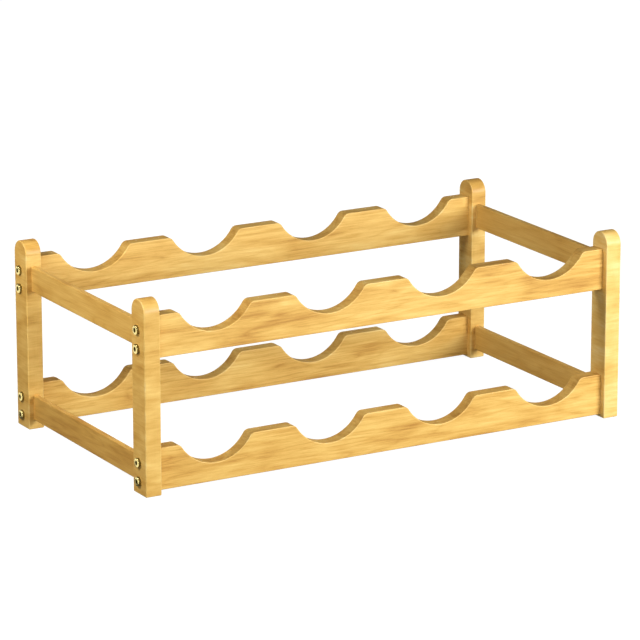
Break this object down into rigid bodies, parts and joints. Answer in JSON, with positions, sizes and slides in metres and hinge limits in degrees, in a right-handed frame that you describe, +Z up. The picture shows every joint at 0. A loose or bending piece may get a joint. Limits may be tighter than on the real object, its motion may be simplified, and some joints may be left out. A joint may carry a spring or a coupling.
{
  "type": "wine rack",
  "caption": "Tiered tabletop wine rack of honey-toned wood, with round-topped posts and scalloped rails that cradle bottles lying down, screwed together with brass screws.",
  "frame": {"origin": "middle of the footprint, on the surface that the rack stands on", "axes": "+X across the rack to its right as seen from the front, +Y from the front to the back, +Z up"},
  "size_m": [0.465, 0.24, 0.165],
  "materials": {
    "post_wood": "satin varnish",
    "rail_wood": "satin varnish",
    "dowel_wood": "bare, glued",
    "brass": "bright plated"
  },
  "bodies": {
    "root": {"post_front_left": "post_wood", "post_front_right": "post_wood", "post_rear_left": "post_wood", "post_rear_right": "post_wood", "wave_rail_upper_front": "rail_wood", "wave_rail_upper_rear": "rail_wood", "wave_rail_lower_front": "rail_wood", "wave_rail_lower_rear": "rail_wood", "side_rail_upper_left": "rail_wood", "side_rail_upper_right": "rail_wood", "side_rail_lower_left": "rail_wood", "side_rail_lower_right": "rail_wood", "screws_front_left_upper": "brass", "screws_front_left_lower": "brass", "screws_front_right_upper": "brass", "screws_front_right_lower": "brass", "screws_rear_left_upper": "brass", "screws_rear_left_lower": "brass", "screws_rear_right_upper": "brass", "screws_rear_right_lower": "brass", "dowels_front_left_upper": "dowel_wood", "dowels_front_left_lower": "dowel_wood", "dowels_front_right_upper": "dowel_wood", "dowels_front_right_lower": "dowel_wood", "dowels_rear_left_upper": "dowel_wood", "dowels_rear_left_lower": "dowel_wood", "dowels_rear_right_upper": "dowel_wood", "dowels_rear_right_lower": "dowel_wood"}
  },
  "joints": []
}
